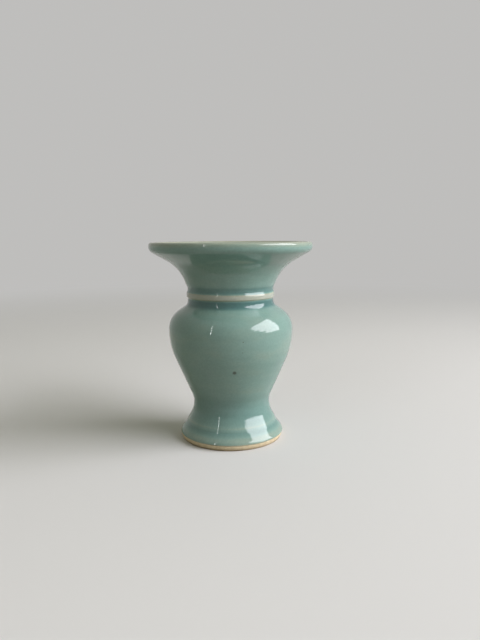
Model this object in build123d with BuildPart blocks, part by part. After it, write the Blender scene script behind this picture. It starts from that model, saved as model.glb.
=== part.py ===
"""Small celadon porcelain vase: trumpet mouth, raised neck ring, round belly, waist and splayed foot.

The vase is formed in three turned sections that are luted together leather-hard: the foot, the belly
and the trumpet mouth. Each seam is a stepped lap joint, an upstanding spigot inside a socket, bedded
in a thin layer of slip. A round ring of porcelain is pressed into a seat over the neck seam, and the
whole is coated in glaze: one coat outside, one inside, one in the recess under the foot. The foot
ring and the narrow bevel above it stay bare.

Millimetres, +Z up. The origin is the middle of the foot, on the surface that the vase stands on.
A profile is a list of (radius, height, round) corners in the half section, and it always runs with
the porcelain on its left: up the outside, over the lip, down the inside and out along the underside.
"""

import os
from math import atan2, hypot, tan

from build123d import *

# ---- driving dimensions of the glazed surface ---------------------------------------------------
total_height = 74.65

# foot and waist, stacked from the resting surface up
foot_radius = 19.9          # at the glaze line
glaze_line_height = 2.05    # the glaze stops here, and the porcelain below is bare
foot_band_rise = 1.05       # from the glaze line up to the corner of the foot's rounded band
foot_band_inset = 0.35      # that corner inside the glaze line
foot_band_round = 2.6
cove_rise = 2.8             # from the band's corner up to the shallow cove
cove_inset = 2.1
cove_round = 1.8
ridge_rise = 1.45           # from the cove up to the faint ridge at the foot seam
ridge_inset = 0.65
ridge_round = 1.2
waist_radius = 14.72
waist_sweep_rise = 3.9      # from the ridge up to the start of the waist
waist_low_round = 9.4
waist_length = 4.35
waist_top_round = 7.5

# lip, mouth, neck and belly, stacked from the top down
rim_radius = 30.55
lip_width = 1.8             # from the rim in to where the mouth's slope meets the lip
lip_round = 1.05
mouth_round = 2.5
lip_height = 3.15
lip_low_round = 2.6
mouth_height = 6.25         # from the underside of the lip down to the flare
flare_radius = 19.56        # where the neck's slope turns out into the mouth
flare_height = 7.55         # from the flare down to the neck
flare_round = 10.5
neck_radius = 16.25
neck_length = 6.3
neck_top_round = 5.1
neck_foot_round = 2.8
shoulder_height = 4.8       # from the foot of the neck down to the belly's full radius
shoulder_round = 8.5
belly_radius = 23.53
belly_length = 10.8
belly_round = 28.0

# ---- raised ring on the neck --------------------------------------------------------------------
ring_rise_on_neck = 3.6     # from the foot of the neck up to the middle of the ring
ring_face_height = 1.2      # upright face of the glazed ring
ring_low_edge = 0.6         # its edges run in to the neck over these heights
ring_top_edge = 0.75
ring_rise = 0.42            # how far the glazed ring stands out of the neck
ring_round = 0.6
ring_top_round = 0.8
bare_ring_height = 1.9      # the porcelain ring under the glaze
bare_ring_rise = 0.62       # its crest over the bare neck: the glaze runs thin there
ring_seat_depth = 0.25

# ---- walls, coats and joints ----------------------------------------------------------------------
body_wall = 2.3
glaze_thickness = 0.4
floor_thickness = 3.0
floor_round = 3.5
slip_thickness = 0.25
foot_spigot_wall = 1.85
foot_lap_height = 2.2
neck_spigot_wall = 1.1
neck_lap_height = 1.6
neck_seam_drop = 0.7        # neck seam below the middle of the ring that hides it

# ---- underside of the foot ----------------------------------------------------------------------
contact_outer_radius = 18.95
contact_inner_radius = 16.3
contact_edge_round = 0.35
bevel_height = 1.2
bevel_round = 1.2
recess_depth = 3.2
recess_radius = 15.4
recess_round = 1.2
recess_glaze_margin = 1.4   # the recess glaze stops this far above the resting surface
coat_edge_round = 0.25

# ---- heights and radii that follow from them ---------------------------------------------------
band_level = glaze_line_height + foot_band_rise
cove_level = band_level + cove_rise
ridge_level = cove_level + ridge_rise
waist_low_level = ridge_level + waist_sweep_rise
waist_top_level = waist_low_level + waist_length
lip_low_level = total_height - lip_height
flare_level = lip_low_level - mouth_height
neck_top_level = flare_level - flare_height
neck_foot_level = neck_top_level - neck_length
shoulder_level = neck_foot_level - shoulder_height
belly_low_level = shoulder_level - belly_length
ring_level = neck_foot_level + ring_rise_on_neck
neck_seam_level = ring_level - neck_seam_drop
band_radius = foot_radius - foot_band_inset
cove_radius = band_radius - cove_inset
ridge_radius = cove_radius - ridge_inset
mouth_radius = rim_radius - lip_width
bare_foot_radius = foot_radius - glaze_thickness
bare_neck_radius = neck_radius - glaze_thickness
wall_and_coats = body_wall + 2 * glaze_thickness
floor_level = recess_depth + floor_thickness + glaze_thickness
well_radius = waist_radius - wall_and_coats
well_bare_radius = well_radius + glaze_thickness
throat_bare_radius = bare_neck_radius - body_wall
beyond_everything = 2 * rim_radius
snug = 0.98                 # share of a run that the rounds at its two ends may take up


# ---- profile arithmetic ----------------------------------------------------------------------------
def run(start, end):
    """Length and unit direction of the straight run between two corners."""
    dr, dz = end[0] - start[0], end[1] - start[1]
    length = hypot(dr, dz)
    return length, dr / length, dz / length


def left_turn(before, corner, after):
    """Angle by which a profile turns left at a corner, in radians, negative to the right."""
    _, ar, az = run(before, corner)
    _, br, bz = run(corner, after)
    return atan2(ar * bz - az * br, ar * br + az * bz)


def fitted(corners):
    """Limit each round so that the rounds at both ends of a run fit on it."""
    setbacks = [0.0] * len(corners)
    for i in range(1, len(corners) - 1):
        half_turn = abs(left_turn(corners[i - 1], corners[i], corners[i + 1])) / 2
        setbacks[i] = corners[i][2] * tan(half_turn)
    scales = [1.0] * len(corners)
    for i in range(len(corners) - 1):
        room = snug * run(corners[i], corners[i + 1])[0]
        share = room / max(setbacks[i] + setbacks[i + 1], room)
        scales[i] = min(scales[i], share)
        scales[i + 1] = min(scales[i + 1], share)
    return [(r, z, size * scale) for (r, z, size), scale in zip(corners, scales)]


def moved_left(corners, depth):
    """The profile moved to its left by depth, with its rounds kept concentric."""
    moved = []
    for i, (r, z, size) in enumerate(corners):
        before = corners[i - 1] if i else None
        after = corners[i + 1] if i + 1 < len(corners) else None
        if before is None or after is None:
            _, dr, dz = run(corners[i], after) if after else run(before, corners[i])
            moved.append((r - dz * depth, z + dr * depth, 0.0))
            continue
        turn = left_turn(before, corners[i], after)
        _, ar, az = run(before, corners[i])
        slide = depth * tan(turn / 2)
        new_size = max(size - depth, 0.0) if turn > 0 else max(size + depth, 0.0)
        moved.append((r - az * depth - ar * slide, z + ar * depth - az * slide, new_size))
    return moved


def profile_face(corners, mode=Mode.ADD):
    """Closed face through the corners, added to the half section that is being drawn."""
    points = [(r, z) for r, z, _ in corners]
    with BuildLine() as outline:
        FilletPolyline(*points, radius=[size for _, _, size in corners], close=True)
    make_face(outline.edges(), mode=mode)


# ---- the profiles ------------------------------------------------------------------------------------
lower_outside = [
    (foot_radius, glaze_line_height, 0.0),
    (band_radius, band_level, foot_band_round),
    (cove_radius, cove_level, cove_round),
    (ridge_radius, ridge_level, ridge_round),
    (waist_radius, waist_low_level, waist_low_round),
    (waist_radius, waist_top_level, waist_top_round),
    (belly_radius, belly_low_level, belly_round),
    (belly_radius, shoulder_level, shoulder_round),
    (neck_radius, neck_foot_level, neck_foot_round),
]
ring_outside = [
    (neck_radius, ring_level - ring_face_height / 2 - ring_low_edge, ring_round),
    (neck_radius + ring_rise, ring_level - ring_face_height / 2, ring_round),
    (neck_radius + ring_rise, ring_level + ring_face_height / 2, ring_round),
    (neck_radius, ring_level + ring_face_height / 2 + ring_top_edge, ring_top_round),
]
upper_outside = [
    (neck_radius, neck_top_level, neck_top_round),
    (flare_radius, flare_level, flare_round),
    (rim_radius, lip_low_level, lip_low_round),
    (rim_radius, total_height, lip_round),
]

# The inside runs parallel to the outside from the flare down to the waist, then straight down a
# well to the floor.
parallel_outside = lower_outside[4:] + upper_outside[:3]
parallel_inside = moved_left(fitted(parallel_outside), wall_and_coats)[1:-1]
inside = [(mouth_radius, total_height, mouth_round)]
inside += reversed(parallel_inside)
inside += [(well_radius, floor_level, floor_round), (0.0, floor_level, 0.0)]

plain_surface = fitted(lower_outside + upper_outside + inside)
ringed_surface = fitted(lower_outside + ring_outside + upper_outside + inside)
bare_surface = moved_left(plain_surface, glaze_thickness)

outside_count = len(lower_outside + upper_outside)
ringed_outside_count = outside_count + len(ring_outside)
lip_corner = plain_surface[outside_count - 1]
mouth_corner = plain_surface[outside_count]
mouth_turn = left_turn(lip_corner, mouth_corner, plain_surface[outside_count + 1])
crest_outer_radius = lip_corner[0] - lip_corner[2]
crest_inner_radius = mouth_corner[0] + mouth_corner[2] * tan(abs(mouth_turn) / 2)
crest_radius = (crest_outer_radius + crest_inner_radius) / 2      # the two coats meet here
crest = (crest_radius, total_height, 0.0)
bare_crest = (crest_radius, total_height - glaze_thickness, 0.0)

underside = fitted([
    (0.0, recess_depth, 0.0),
    (recess_radius, recess_depth, recess_round),
    (contact_inner_radius, 0.0, contact_edge_round),
    (contact_outer_radius, 0.0, contact_edge_round),
    (bare_foot_radius, bevel_height, bevel_round),
    (bare_foot_radius, glaze_line_height, 0.0),
])


# ---- sections of the bare porcelain ----------------------------------------------------------------
def porcelain_section(mode=Mode.ADD):
    """Half section of the whole bare vase, without its neck ring."""
    profile_face(underside + bare_surface[1:], mode)


def under_seam(seam_level, step_radius, lap_height, clearance=0.0):
    """Corners round all that lies under a stepped seam, whose spigot stands inside the step."""
    low = seam_level + clearance
    high = seam_level + lap_height + clearance
    return [
        (0.0, -total_height, 0.0),
        (beyond_everything, -total_height, 0.0),
        (beyond_everything, low, 0.0),
        (step_radius + clearance, low, 0.0),
        (step_radius + clearance, high, 0.0),
        (0.0, high, 0.0),
    ]


def under_foot_seam(clearance=0.0):
    step_radius = well_bare_radius + foot_spigot_wall
    return under_seam(ridge_level, step_radius, foot_lap_height, clearance)


def under_neck_seam(clearance=0.0):
    step_radius = throat_bare_radius + neck_spigot_wall
    return under_seam(neck_seam_level, step_radius, neck_lap_height, clearance)


def ring_section(mode=Mode.ADD):
    """Half section of the porcelain ring: a flat back in the seat and a round front."""
    low = ring_level - bare_ring_height / 2
    high = ring_level + bare_ring_height / 2
    seat_radius = bare_neck_radius - ring_seat_depth
    with BuildLine() as outline:
        Polyline((bare_neck_radius, high), (seat_radius, high), (seat_radius, low), (bare_neck_radius, low))
        crest_point = (bare_neck_radius + bare_ring_rise, ring_level)
        ThreePointArc((bare_neck_radius, low), crest_point, (bare_neck_radius, high))
    make_face(outline.edges(), mode=mode)


# ---- foot: splayed foot with its floor, foot ring and spigot --------------------------------------
with BuildPart() as foot_section:
    with BuildSketch(Plane.XZ):
        porcelain_section()
        profile_face(under_foot_seam(), Mode.INTERSECT)
    revolve(axis=Axis.Z)
foot_section.part.label = "foot_section"

# ---- belly: socket over the foot, waist, belly, shoulder and the neck's spigot --------------------
with BuildPart() as belly_section:
    with BuildSketch(Plane.XZ):
        porcelain_section()
        profile_face(under_neck_seam(), Mode.INTERSECT)
        profile_face(under_foot_seam(slip_thickness), Mode.SUBTRACT)
        ring_section(Mode.SUBTRACT)
    revolve(axis=Axis.Z)
belly_section.part.label = "belly_section"

# ---- mouth: socket over the neck's spigot, flare and lip ---------------------------------------------
with BuildPart() as mouth_section:
    with BuildSketch(Plane.XZ):
        porcelain_section()
        profile_face(under_neck_seam(slip_thickness), Mode.SUBTRACT)
        ring_section(Mode.SUBTRACT)
    revolve(axis=Axis.Z)
mouth_section.part.label = "mouth_section"

# ---- slip: the stepped layers that lute the sections together --------------------------------------
with BuildPart() as foot_seam_slip:
    with BuildSketch(Plane.XZ):
        porcelain_section()
        profile_face(under_foot_seam(slip_thickness), Mode.INTERSECT)
        profile_face(under_foot_seam(), Mode.SUBTRACT)
    revolve(axis=Axis.Z)
foot_seam_slip.part.label = "foot_seam_slip"

with BuildPart() as neck_seam_slip:
    with BuildSketch(Plane.XZ):
        porcelain_section()
        profile_face(under_neck_seam(slip_thickness), Mode.INTERSECT)
        profile_face(under_neck_seam(), Mode.SUBTRACT)
        ring_section(Mode.SUBTRACT)
    revolve(axis=Axis.Z)
neck_seam_slip.part.label = "neck_seam_slip"

# ---- neck ring: pressed into its seat over the neck seam --------------------------------------------
with BuildPart() as neck_ring:
    with BuildSketch(Plane.XZ):
        ring_section()
    revolve(axis=Axis.Z)
neck_ring.part.label = "neck_ring"

# ---- outer glaze: from the glaze line on the foot to the crest of the lip --------------------------
with BuildPart() as outer_glaze:
    glazed_side = [(foot_radius, glaze_line_height, coat_edge_round)]
    glazed_side += ringed_surface[1:ringed_outside_count] + [crest]
    bare_side = [bare_crest] + bare_surface[outside_count - 1:0:-1]
    bare_side += [(bare_foot_radius, glaze_line_height, 0.0)]
    with BuildSketch(Plane.XZ):
        profile_face(glazed_side + bare_side)
        ring_section(Mode.SUBTRACT)
    revolve(axis=Axis.Z)
outer_glaze.part.label = "outer_glaze"

# ---- inner glaze: from the crest of the lip down to the floor ----------------------------------------
with BuildPart() as inner_glaze:
    glazed_side = [crest] + plain_surface[outside_count:]
    bare_side = bare_surface[:outside_count - 1:-1] + [bare_crest]
    with BuildSketch(Plane.XZ):
        profile_face(glazed_side + bare_side)
    revolve(axis=Axis.Z)
inner_glaze.part.label = "inner_glaze"

# ---- recess glaze: under the floor, down to a margin above the foot ring ---------------------------
with BuildPart() as recess_glaze:
    margin_share = (recess_depth - recess_glaze_margin) / recess_depth
    margin_radius = recess_radius + margin_share * (contact_inner_radius - recess_radius)
    bare_side = underside[:2] + [(margin_radius, recess_glaze_margin, 0.0)]
    glazed_side = moved_left(bare_side, -glaze_thickness)
    with BuildSketch(Plane.XZ):
        profile_face(bare_side + glazed_side[::-1])
    revolve(axis=Axis.Z)
recess_glaze.part.label = "recess_glaze"

# ---- one file for each piece ---------------------------------------------------------------------------
os.makedirs("parts", exist_ok=True)
for piece in (
    foot_section,
    belly_section,
    mouth_section,
    foot_seam_slip,
    neck_seam_slip,
    neck_ring,
    outer_glaze,
    inner_glaze,
    recess_glaze,
):
    export_step(piece.part, f"parts/{piece.part.label}.step")
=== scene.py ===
"""Small celadon porcelain vase: its glaze coats, bare foot and hidden sections, on a pale studio floor.

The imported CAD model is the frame, in metres with +Z up and the origin under the middle of the foot.
The outer and the inner glaze coat are turned here as fine meshes and replace those nodes. They follow the
profile of the CAD coats, with the slight unevenness of a hand-finished pot, but the outer one lies up to
0.25 mm thicker over the top of the ring and in the hollow of the flare. The other nodes keep their CAD
meshes. Lengths of the vase are written in millimetres and turned into metres by MM, and those of the
studio are in metres.
"""

from math import atan2, ceil, cos, hypot, pi, radians, sin, tan, tanh

import bpy
from mathutils import Matrix, Quaternion, Vector, noise


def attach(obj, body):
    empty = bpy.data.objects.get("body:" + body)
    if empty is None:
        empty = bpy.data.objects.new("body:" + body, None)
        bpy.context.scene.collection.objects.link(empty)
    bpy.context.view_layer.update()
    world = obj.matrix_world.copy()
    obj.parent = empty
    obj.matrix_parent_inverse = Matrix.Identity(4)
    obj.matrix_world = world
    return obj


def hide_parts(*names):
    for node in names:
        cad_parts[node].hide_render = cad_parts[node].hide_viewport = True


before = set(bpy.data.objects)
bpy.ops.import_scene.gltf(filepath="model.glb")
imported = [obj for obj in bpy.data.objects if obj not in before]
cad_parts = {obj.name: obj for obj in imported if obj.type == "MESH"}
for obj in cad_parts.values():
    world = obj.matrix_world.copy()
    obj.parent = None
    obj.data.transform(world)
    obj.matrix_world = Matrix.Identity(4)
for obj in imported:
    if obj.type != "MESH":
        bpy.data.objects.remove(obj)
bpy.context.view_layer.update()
MM = 0.001

# ---- profile of the glazed surface, in mm ----------------------------------------------------------
TOTAL_HEIGHT, RIM_RADIUS = 74.65, 30.55
FOOT_RADIUS, WAIST_RADIUS, BELLY_RADIUS, NECK_RADIUS = 19.9, 14.72, 23.53, 16.25
GLAZE_LINE = 2.05
EDGE_LAND = 0.05                            # how high the coat's lower edge bears on the porcelain
GLAZE = 0.4
WALL_AND_COATS = 3.1
FLOOR_HEIGHT, FLOOR_ROUND = 6.6, 3.5
LIP_WIDTH, LIP_ROUND, LIP_CREST_FLAT, MOUTH_ROUND = 1.8, 1.05, 0.02, 2.5
CREST_RADIUS = RIM_RADIUS - LIP_ROUND - LIP_CREST_FLAT
FLARE_FOOT_HEIGHT, HOLLOW_RADIUS, HOLLOW_HEIGHT, LIP_FACE_FOOT = 57.7, 19.56, 65.25, 71.5
RING_RISE, RING_FOOT, RING_FACE_FOOT, RING_FACE_TOP, RING_TOP = 0.42, 53.8, 54.4, 55.85, 56.75

# The outside as in the CAD but without its ring, from the glaze line up: (radius, height, round) corners
LOWER_OUTSIDE = [
    (FOOT_RADIUS, GLAZE_LINE, 0.25),
    (19.55, 3.1, 2.6),                      # rounded band of the foot
    (17.45, 5.9, 1.8),                      # cove
    (16.8, 7.35, 1.2),                      # ridge at the foot seam
    (WAIST_RADIUS, 11.25, 9.4),
    (WAIST_RADIUS, 15.6, 7.5),
    (BELLY_RADIUS, 35.8, 28.0),
    (BELLY_RADIUS, 46.6, 8.5),
    (NECK_RADIUS, 51.4, 2.8),
]
UPPER_OUTSIDE = [
    (NECK_RADIUS, FLARE_FOOT_HEIGHT, 5.1),
    (HOLLOW_RADIUS, HOLLOW_HEIGHT, 10.5),
    (RIM_RADIUS, LIP_FACE_FOOT, 2.6),
    (RIM_RADIUS, TOTAL_HEIGHT, LIP_ROUND),
]
# The free surface of the outer coat above the belly. It swells softly over the top of the ring and
# gathers in the hollow of the flare, so some of its rounds differ from those above.
FREE_OUTSIDE = [
    (NECK_RADIUS, RING_FOOT, 0.6),
    (NECK_RADIUS + RING_RISE, RING_FACE_FOOT, 0.6),
    (NECK_RADIUS + RING_RISE, RING_FACE_TOP, 3.0),
    (NECK_RADIUS, RING_TOP, 1.0),
    (NECK_RADIUS, FLARE_FOOT_HEIGHT, 2.9),
    (HOLLOW_RADIUS, HOLLOW_HEIGHT, 15.0),
] + UPPER_OUTSIDE[2:]

# ---- where the glaze lies thin (above 0) or thick (below 0), and painted shade -----------------------
# Each row: (from height, to height, how softly it ends there, all in mm, and how much)
BEYOND = 2 * TOTAL_HEIGHT
OUTER_TONES = [
    (74.3, BEYOND, 0.20, 0.06),             # it runs down off the crest of the lip
    (73.1, BEYOND, 0.9, 0.20),              # and off the upper half of its face
    (70.5, BEYOND, 0.8, -0.07),             # and gathers on the lower half
    (56.2, 58.5, 0.40, -0.33),              # groove above the ring
    (53.8, 56.2, 0.20, 0.33),               # ring
    (51.1, 53.8, 0.45, -0.52),              # foot of the neck
    (9.5, 18.0, 2.0, -0.12),                # waist
    (2.05, 14.0, 2.5, -0.06),               # painted shade over the foot
    (6.8, 8.0, 0.45, 0.14),                 # ridge at the foot seam
    (5.0, 6.4, 0.45, -0.14),                # cove under it
    (2.6, 4.6, 0.45, 0.10),                 # rounded band of the foot
    (0.0, 2.35, 0.15, 0.25),                # edge of the glaze
]
INNER_TONES = [
    (73.9, BEYOND, 0.35, 0.24),             # it runs down off the lip
    (0.0, 9.0, 1.5, -0.35),                 # and gathers on the floor
]

# ---- how finely the coats are turned ---------------------------------------------------------------
SEGMENTS = 256
ARC_STEP = radians(6.0)
LONGEST_STEP = 0.7
SAME_PLACE = 1e-6

# ---- camera ------------------------------------------------------------------------------------------
CAMERA_PLACE = (3.5 * MM, -211.5 * MM, 76.9 * MM)
CAMERA_PITCH_DOWN = radians(8.58)
CAMERA_ROLL = radians(0.4)
LENS, SENSOR = 31.5, 36.0


# ---- profile arithmetic ------------------------------------------------------------------------------
def run(start, end):
    """Length and direction of the straight run from one corner to another."""
    dr, dz = end[0] - start[0], end[1] - start[1]
    length = hypot(dr, dz)
    return length, dr / length, dz / length


def left_turn(before, corner, after):
    """Angle by which the profile turns to its left at a corner."""
    _, ar, az = run(before, corner)
    _, br, bz = run(corner, after)
    return atan2(ar * bz - az * br, ar * br + az * bz)


def moved_left(corners, depth):
    """The profile moved to its left by depth, with its rounds kept concentric."""
    moved = []
    for i, (r, z, size) in enumerate(corners):
        before = corners[i - 1] if i else None
        after = corners[i + 1] if i + 1 < len(corners) else None
        if before is None or after is None:
            _, dr, dz = run(corners[i], after) if after else run(before, corners[i])
            moved.append((r - dz * depth, z + dr * depth, 0.0))
            continue
        turn = left_turn(before, corners[i], after)
        _, ar, az = run(before, corners[i])
        slide = depth * tan(turn / 2)
        new_size = max(size - depth, 0.0) if turn > 0 else max(size + depth, 0.0)
        moved.append((r - az * depth - ar * slide, z + ar * depth - az * slide, new_size))
    return moved


def traced(corners):
    """Points along the straight runs and tangent arcs of a profile, close enough to look smooth."""
    points = []

    def straight(end):
        if not points:
            points.append(end)
            return
        length = hypot(end[0] - points[-1][0], end[1] - points[-1][1])
        start = points[-1]
        steps = max(1, ceil(length / LONGEST_STEP))
        for k in range(1, steps + 1):
            t = k / steps
            points.append((start[0] + t * (end[0] - start[0]), start[1] + t * (end[1] - start[1])))

    straight(corners[0][:2])
    for before, corner, after in zip(corners, corners[1:], corners[2:]):
        turn = left_turn(before, corner, after)
        setback = corner[2] * tan(abs(turn) / 2)
        _, ar, az = run(before, corner)
        straight((corner[0] - ar * setback, corner[1] - az * setback))
        if corner[2] <= 0.0:
            continue
        side = 1.0 if turn > 0 else -1.0
        start = points[-1]
        middle = (start[0] - side * az * corner[2], start[1] + side * ar * corner[2])
        arc_length = abs(turn) * corner[2]
        steps = max(2, ceil(abs(turn) / ARC_STEP), ceil(arc_length / LONGEST_STEP))
        for k in range(1, steps + 1):
            angle = turn * k / steps
            dr, dz = start[0] - middle[0], start[1] - middle[1]
            points.append((
                middle[0] + dr * cos(angle) - dz * sin(angle),
                middle[1] + dr * sin(angle) + dz * cos(angle),
            ))
    straight(corners[-1][:2])
    apart = [b for a, b in zip(points, points[1:]) if hypot(b[0] - a[0], b[1] - a[1]) > SAME_PLACE]
    return points[:1] + apart


def thinness_and_shade(height, tones):
    """How thin the glaze lies at a height, with the painted shade on the foot, from the tones that reach
    it.
    """
    return sum(
        amount * (tanh((height - low) / blur) - tanh((height - high) / blur)) / 2
        for low, high, blur, amount in tones
    )


# ---- the profiles ------------------------------------------------------------------------------------
# The inside runs parallel to the outside from the waist to the flare
PARALLEL = LOWER_OUTSIDE[4:] + UPPER_OUTSIDE[:3]
INSIDE = [(RIM_RADIUS - LIP_WIDTH, TOTAL_HEIGHT, MOUTH_ROUND)]
INSIDE += reversed(moved_left(PARALLEL, WALL_AND_COATS)[1:-1])
INSIDE += [(WAIST_RADIUS - WALL_AND_COATS, FLOOR_HEIGHT, FLOOR_ROUND), (0.0, FLOOR_HEIGHT, 0.0)]
GLAZED = LOWER_OUTSIDE + UPPER_OUTSIDE + INSIDE
OUTSIDE_COUNT = len(LOWER_OUTSIDE + UPPER_OUTSIDE)
BARE = moved_left(GLAZED, GLAZE)
CREST = (CREST_RADIUS, TOTAL_HEIGHT, 0.0)
BARE_CREST = (CREST_RADIUS, TOTAL_HEIGHT - GLAZE, 0.0)


# ---- the unevenness of a hand-finished pot: sizes in mm, angles in radians -------------------------
OVAL, OVAL_BEARING = 0.10, 0.9
LOPSIDED, LOPSIDED_TWIST = 0.05, 0.05
RIPPLE, RIPPLE_LENGTH = 0.045, 9.0
FINGERS, FINGERS_PER_MM, FINGERS_SLANT = 0.018, 1.9, 0.6
CALM_RADIUS = 8.0
MOUTH_OFFSET, FLARE_START, OFFSET_BLEND = 0.2, 62.0, 2.5


def uneven(r, z, angle):
    """How far in mm the surface is moved out at a place on the pot, the same for every piece there."""
    change = OVAL * (cos(2 * angle + OVAL_BEARING) - 1) / 2
    change += LOPSIDED * (cos(3 * angle - LOPSIDED_TWIST * z) - 1) / 2
    change += RIPPLE * noise.noise(Vector((r * cos(angle), r * sin(angle), z)) / RIPPLE_LENGTH)
    change += FINGERS * sin(FINGERS_PER_MM * z + FINGERS_SLANT * angle)
    return change * min(1.0, r / CALM_RADIUS)


def sideways(z):
    """How far in mm the flare stands to +X of the belly's axis."""
    return MOUTH_OFFSET * (1 + tanh((z - FLARE_START) / OFFSET_BLEND)) / 2


def turned(name, loop, values):
    """A mesh spun from a closed loop of (radius, height) in mm, with a glaze_tone for each point of it."""
    verts, faces, tones, rows = [], [], [], []
    for (r, z), value in zip(loop, values):
        if r < SAME_PLACE:
            rows.append([len(verts)])
            verts.append((0.0, 0.0, z * MM))
            tones.append(value)
            continue
        rows.append(list(range(len(verts), len(verts) + SEGMENTS)))
        for k in range(SEGMENTS):
            angle = 2 * pi * k / SEGMENTS
            rr = (r + uneven(r, z, angle)) * MM
            verts.append((rr * cos(angle) + sideways(z) * MM, rr * sin(angle), z * MM))
            tones.append(value)
    for low, high in zip(rows, rows[1:] + rows[:1]):
        if len(low) == 1 and len(high) == 1:
            continue
        for k in range(SEGMENTS):
            n = (k + 1) % SEGMENTS
            if len(low) == 1:
                faces.append((low[0], high[n], high[k]))
            elif len(high) == 1:
                faces.append((low[k], low[n], high[0]))
            else:
                faces.append((low[k], low[n], high[n], high[k]))
    mesh = bpy.data.meshes.new(name)
    mesh.from_pydata(verts, [], faces)
    mesh.validate()
    mesh.attributes.new("glaze_tone", "FLOAT", "POINT").data.foreach_set("value", tones)
    mesh.shade_smooth()
    piece = bpy.data.objects.new(name, mesh)
    bpy.context.scene.collection.objects.link(piece)
    return piece


# ---- materials ---------------------------------------------------------------------------------------
class Nodes:
    """A material's or the world's node tree, with short ways to add a node and to join sockets."""

    def __init__(self, owner):
        owner.use_nodes = True
        self.owner = owner
        self.tree = owner.node_tree
        self.shader = self.tree.nodes.get("Principled BSDF")

    def add(self, kind, settings=(), **inputs):
        node = self.tree.nodes.new("ShaderNode" + kind)
        for key, value in dict(settings).items():
            setattr(node, key, value)
        for key, value in inputs.items():
            self.put(node.inputs[key.replace("_", " ")], value)
        return node

    def put(self, socket, value):
        if isinstance(value, bpy.types.NodeSocket):
            self.tree.links.new(value, socket)
        else:
            socket.default_value = value

    def math(self, operation, *values):
        node = self.add("Math", {"operation": operation})
        for socket, value in zip(node.inputs, values):
            self.put(socket, value)
        return node.outputs[0]

    def blend(self, amount, first, second, mode="MIX"):
        """Mixes two colours. They are inputs 6 and 7 of a Mix node, and the colour is its output 2."""
        node = self.add("Mix", {"data_type": "RGBA", "blend_type": mode, "clamp_factor": True})
        self.put(node.inputs[0], amount)
        self.put(node.inputs[6], first)
        self.put(node.inputs[7], second)
        return node.outputs[2]

    def noise(self, scale, detail=3.0, roughness=0.5, vector=None):
        node = self.add("TexNoise", Scale=scale, Detail=detail, Roughness=roughness)
        self.put(node.inputs["Vector"], vector or self.place())
        return node.outputs["Fac"]

    def place(self):
        """Where a point lies, in metres from the middle of the foot."""
        return self.add("TexCoord").outputs["Object"]

    def smooth_step(self, value, start, end, at_start=0.0, at_end=1.0):
        """Goes softly from at_start to at_end while the value goes from start to end."""
        node = self.add("MapRange", {"interpolation_type": "SMOOTHSTEP"}, Value=value)
        for socket, number in zip(list(node.inputs)[1:5], (start, end, at_start, at_end)):
            socket.default_value = number
        return node.outputs["Result"]

    def ramp(self, value, stops):
        node = self.add("ValToRGB")
        self.put(node.inputs[0], value)
        elements = node.color_ramp.elements
        while len(elements) < len(stops):
            elements.new(0.5)
        for element, (position, colour) in zip(elements, stops):
            element.position = position
            element.color = colour
        return node.outputs[0]


def rgb(r, g, b):
    return (r, g, b, 1.0)


# The glaze from where it gathers to where it runs off
THICK_GLAZE = rgb(0.070, 0.165, 0.155)
DEEP_GLAZE = rgb(0.135, 0.253, 0.228)
MID_GLAZE = rgb(0.203, 0.326, 0.283)
SPARE_GLAZE = rgb(0.375, 0.388, 0.290)
THIN_GLAZE = rgb(0.405, 0.432, 0.378)
BARELY_GLAZED = rgb(0.350, 0.318, 0.250)
MOTTLING = 0.20
IRON = rgb(0.045, 0.050, 0.030)
SPECK_CORE, SPECK_STRENGTH = 0.35, 0.8
# Painted contact shadow: a darker tint on the bare foot, fading out up to this height in mm above the edge
# it stands on
CONTACT_SHADE, CONTACT_SHADE_HEIGHT = rgb(0.50, 0.45, 0.40), 1.1

# Iron specks that bled through the glaze: (bearing in degrees, radius, height and reach in mm)
SPECKS = [
    (-86.0, 20.7, 29.3, 0.95),
    (-78.8, 23.4, 40.7, 0.28),
    (-79.2, 23.2, 36.9, 0.30),
    (-88.0, 21.9, 48.5, 0.26),
    (-92.0, 23.4, 44.9, 0.24),
    (-62.0, 19.6, 26.5, 0.22),
    (-128.0, 22.9, 35.2, 0.30),
    (18.0, 21.9, 33.0, 0.38),
    (74.0, 23.5, 43.0, 0.28),
    (111.0, 18.2, 23.5, 0.45),
    (160.0, 23.0, 45.2, 0.24),
]


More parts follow.
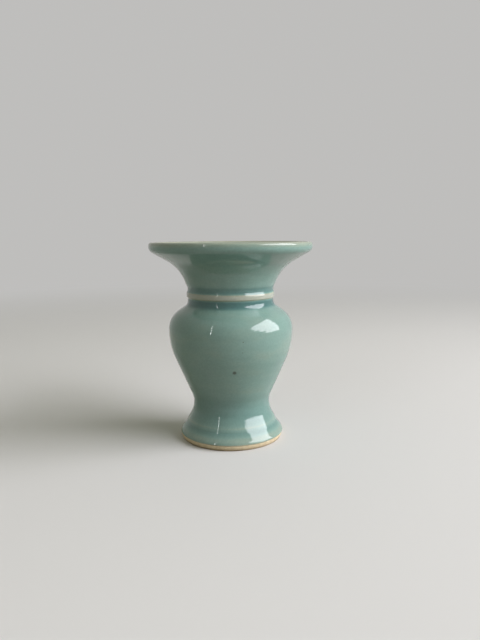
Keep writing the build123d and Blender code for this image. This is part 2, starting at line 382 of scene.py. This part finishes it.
def celadon():
    """Glossy celadon: its colour follows how thin the glaze lies and is darkened by painted shade on the
    foot, with soft mottling and iron specks.
    """
    n = Nodes(bpy.data.materials.new("celadon_glaze"))
    # glaze_tone holds how thin the glaze lies, and the painted shade on the foot
    tone = n.add("Attribute", {"attribute_name": "glaze_tone"}).outputs["Fac"]
    flat_cells = n.add("Mapping", Vector=n.place(), Scale=(1.0, 1.0, 2.4)).outputs[0]
    clouds = n.noise(65.0, detail=4.0, roughness=0.55, vector=flat_cells)
    drift = n.math("MULTIPLY", n.math("SUBTRACT", clouds, 0.5), MOTTLING)
    level = n.math("ADD", n.math("ADD", tone, 0.5), drift)
    colour = n.ramp(level, [
        (0.00, THICK_GLAZE),
        (0.28, DEEP_GLAZE),
        (0.50, MID_GLAZE),
        (0.74, SPARE_GLAZE),
        (0.85, THIN_GLAZE),
        (1.00, BARELY_GLAZED),
    ])
    fine = n.ramp(n.noise(1400.0, detail=2.0), [(0.3, rgb(0.94, 0.95, 0.95)), (0.7, rgb(1.05, 1.04, 1.03))])
    colour = n.blend(1.0, colour, fine, "MULTIPLY")
    for bearing, radius, height, reach in SPECKS:
        a = radians(bearing)
        distance = n.add("VectorMath", {"operation": "DISTANCE"})
        n.put(distance.inputs[0], n.place())
        n.put(distance.inputs[1], Vector((radius * cos(a), radius * sin(a), height)) * MM)
        core, edge = SPECK_CORE * reach * MM, reach * MM
        iron = n.smooth_step(distance.outputs["Value"], core, edge, SPECK_STRENGTH, 0.0)
        colour = n.blend(iron, colour, IRON)
    n.put(n.shader.inputs["Base Color"], colour)
    rough = n.math("MULTIPLY_ADD", n.noise(260.0), 0.05, 0.015)
    n.put(n.shader.inputs["Roughness"], rough)
    n.shader.inputs["IOR"].default_value = 1.52
    pores = n.math("MULTIPLY", n.noise(900.0, detail=2.0), 0.06)
    skin = n.math("ADD", n.noise(170.0, detail=2.0), pores)
    bump = n.add("Bump", Strength=0.25, Distance=0.00012, Height=skin)
    n.put(n.shader.inputs["Normal"], bump.outputs[0])
    return n.owner


def bare_porcelain():
    """Bare fired porcelain: matt warm buff with fine grit, and painted contact shadow that darkens it
    towards the edge that it stands on.
    """
    n = Nodes(bpy.data.materials.new("bare_porcelain"))
    grain = n.noise(700.0, detail=6.0, roughness=0.6)
    colour = n.ramp(grain, [
        (0.30, rgb(0.60, 0.475, 0.30)),
        (0.52, rgb(0.70, 0.575, 0.375)),
        (0.75, rgb(0.75, 0.64, 0.44)),
    ])
    # Painted contact shadow: darker towards the edge that the foot stands on
    height = n.add("SeparateXYZ", Vector=n.place()).outputs["Z"]
    unshaded = n.smooth_step(height, 0.0, CONTACT_SHADE_HEIGHT * MM)
    colour = n.blend(unshaded, n.blend(1.0, colour, CONTACT_SHADE, "MULTIPLY"), colour)
    n.put(n.shader.inputs["Base Color"], colour)
    n.put(n.shader.inputs["Roughness"], n.math("MULTIPLY_ADD", grain, 0.15, 0.60))
    bump = n.add("Bump", Strength=0.3, Distance=0.00008, Height=n.noise(3500.0))
    n.put(n.shader.inputs["Normal"], bump.outputs[0])
    return n.owner


def luting_slip():
    """Fired slip: like the porcelain but finer and duller."""
    n = Nodes(bpy.data.materials.new("luting_slip"))
    grain = n.noise(1500.0, detail=4.0)
    colour = n.ramp(grain, [(0.3, rgb(0.50, 0.43, 0.31)), (0.7, rgb(0.62, 0.55, 0.42))])
    n.put(n.shader.inputs["Base Color"], colour)
    n.put(n.shader.inputs["Roughness"], n.math("MULTIPLY_ADD", n.noise(600.0), 0.1, 0.7))
    return n.owner


# ---- the pieces --------------------------------------------------------------------------------------
def coat(name, front, back, tones, node, material):
    """A glaze coat between its free surface and the porcelain, in place of its CAD node."""
    loop = traced(front) + traced(back)
    piece = turned(name, loop, [thinness_and_shade(z, tones) for _, z in loop])
    piece.data.materials.append(material)
    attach(piece, "root")
    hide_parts(node)


def finish(material, *nodes):
    """Gives a material to the nodes that keep their CAD meshes."""
    for node in nodes:
        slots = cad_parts[node].data.materials
        slots.clear()
        slots.append(material)


glaze = celadon()

edge = FOOT_RADIUS - GLAZE
outer_front = [(edge, GLAZE_LINE, 0.0)] + LOWER_OUTSIDE + FREE_OUTSIDE + [CREST]
outer_back = [BARE_CREST] + BARE[OUTSIDE_COUNT - 1:0:-1] + [(edge, GLAZE_LINE + EDGE_LAND, 0.0)]
coat("glaze_outside", outer_front, outer_back, OUTER_TONES, "outer_glaze", glaze)

inner_front = [CREST] + GLAZED[OUTSIDE_COUNT:]
inner_back = BARE[:OUTSIDE_COUNT - 1:-1] + [BARE_CREST]
coat("glaze_inside", inner_front, inner_back, INNER_TONES, "inner_glaze", glaze)

finish(glaze, "recess_glaze")
finish(bare_porcelain(), "foot_section", "belly_section", "mouth_section", "neck_ring")
finish(luting_slip(), "foot_seam_slip", "neck_seam_slip")


# ---- studio, in metres -------------------------------------------------------------------------------
FLOOR_HALF_SIZE = 20.0
FADE_START, FADE_END = 0.15, 0.70
FLOOR_SEEN, FLOOR_BOUNCE = rgb(0.69, 0.683, 0.67), rgb(0.370, 0.365, 0.320)
SURROUNDINGS = rgb(0.52, 0.515, 0.505)
AMBIENT_FRONT, AMBIENT_BACK = rgb(0.041, 0.045, 0.032), rgb(0.325, 0.325, 0.255)
BRIGHTER_SIDE = Vector((-0.40, 0.76, 0.51))
AMBIENT_BLEND = 0.6
LAMP_AIM = 0.045                            # height that the lamp faces
WINDOW_COLOUR, WINDOW_RADIANCE = rgb(0.95, 0.94, 0.985), 8.4
WINDOW_DISTANCE, WINDOW_DATUM = 0.9, 0.04
# Corners of the bright window in its wall, in window distances: towards the back, and above the datum
WINDOW_CORNERS = [
    (0.16, 0.08), (0.28, 1.14), (-0.75, 1.20), (-1.12, 1.08), (-1.28, 0.92), (-1.04, 0.84), (-1.30, 0.70),
    (-0.98, 0.58), (-1.10, 0.44), (-0.72, 0.40), (-0.74, 0.27), (-0.42, 0.24), (-0.45, 0.13),
]


def stage_piece(name, verts, faces, material):
    """A flat piece of the studio."""
    mesh = bpy.data.meshes.new(name)
    mesh.from_pydata(verts, [], faces)
    mesh.materials.append(material)
    piece = bpy.data.objects.new(name, mesh)
    bpy.context.scene.collection.objects.link(piece)
    return piece


def seen_directly(n):
    """1 for what the camera, a reflection or a refraction sees, and 0 for light on its way to the vase."""
    path = n.add("LightPath")
    seen = n.math("MAXIMUM", path.outputs["Is Camera Ray"], path.outputs["Is Glossy Ray"])
    return n.math("MAXIMUM", seen, path.outputs["Is Transmission Ray"])


def floor():
    """Pale floor that keeps the vase's shadow and fades into the pale surroundings further out."""
    n = Nodes(bpy.data.materials.new("studio_floor"))
    n.put(n.shader.inputs["Base Color"], n.blend(seen_directly(n), FLOOR_BOUNCE, FLOOR_SEEN))
    n.shader.inputs["Roughness"].default_value = 0.9
    n.shader.inputs["Specular IOR Level"].default_value = 0.2
    away = n.add("VectorMath", {"operation": "LENGTH"})
    n.put(away.inputs[0], n.place())
    fade = n.smooth_step(away.outputs["Value"], FADE_START, FADE_END)
    glow = n.add("Emission", Color=SURROUNDINGS, Strength=1.0)
    mix = n.add("MixShader")
    n.put(mix.inputs[0], n.math("MULTIPLY", fade, seen_directly(n)))
    n.put(mix.inputs[1], n.shader.outputs[0])
    n.put(mix.inputs[2], glow.outputs[0])
    n.put(n.tree.nodes["Material Output"].inputs["Surface"], mix.outputs[0])
    half = FLOOR_HALF_SIZE
    corners = [(-half, -half, 0.0), (half, -half, 0.0), (half, half, 0.0), (-half, half, 0.0)]
    stage_piece("studio_floor", corners, [(0, 1, 2, 3)], n.owner)


def window():
    """Soft daylight from the right, in a wall that stands along the camera's line of sight."""
    n = Nodes(bpy.data.materials.new("window_light"))
    n.tree.nodes.remove(n.shader)
    glow = n.add("Emission", Color=WINDOW_COLOUR, Strength=WINDOW_RADIANCE)
    n.put(n.tree.nodes["Material Output"].inputs["Surface"], glow.outputs[0])
    far = WINDOW_DISTANCE
    verts = [(far, y * far, z * far + WINDOW_DATUM) for y, z in WINDOW_CORNERS]
    pane = stage_piece("window_light", verts, [tuple(range(len(verts)))], n.owner)
    pane.visible_camera = False


def lamp(name, azimuth, elevation, lean, distance, width, height, radiance):
    """A white oblong lamp that faces the vase. Azimuth 0 is towards the camera, and 90 to its right."""
    a, e = radians(azimuth), radians(elevation)
    away = Vector((sin(a) * cos(e), -cos(a) * cos(e), sin(e)))
    data = bpy.data.lights.new(name, "AREA")
    data.shape = "RECTANGLE"
    data.size, data.size_y = width, height
    data.energy = radiance * pi * width * height
    thing = bpy.data.objects.new(name, data)
    thing.location = Vector((0.0, 0.0, LAMP_AIM)) + away * distance
    facing = away.to_track_quat("Z", "Y") @ Quaternion((0.0, 0.0, 1.0), radians(lean))
    thing.rotation_euler = facing.to_euler()
    bpy.context.scene.collection.objects.link(thing)


def ambience(world):
    """Dim soft light, brighter from behind and above the vase than from its front, and pale to look at."""
    n = Nodes(world)
    towards = n.add("VectorMath", {"operation": "DOT_PRODUCT"})
    n.put(towards.inputs[0], n.add("TexCoord").outputs["Generated"])
    n.put(towards.inputs[1], BRIGHTER_SIDE)
    back = n.smooth_step(towards.outputs["Value"], -AMBIENT_BLEND, AMBIENT_BLEND)
    light = n.blend(back, AMBIENT_FRONT, AMBIENT_BACK)
    n.put(n.tree.nodes["Background"].inputs["Color"], n.blend(seen_directly(n), light, SURROUNDINGS))


floor()
window()
lamp("slit", azimuth=-37, elevation=25, lean=4, distance=0.9, width=0.014, height=0.58, radiance=19.0)

bpy.context.scene.world = bpy.data.worlds.new("studio")
ambience(bpy.context.scene.world)

camera_data = bpy.data.cameras.new("camera")
camera_data.lens, camera_data.sensor_width = LENS, SENSOR
camera_data.clip_start = 0.01
camera = bpy.data.objects.new("camera", camera_data)
tilt = Matrix.Rotation(pi / 2 - CAMERA_PITCH_DOWN, 4, "X") @ Matrix.Rotation(-CAMERA_ROLL, 4, "Z")
camera.matrix_world = Matrix.Translation(CAMERA_PLACE) @ tilt
bpy.context.scene.collection.objects.link(camera)
bpy.context.scene.camera = camera
bpy.context.scene.view_settings.view_transform = "Standard"
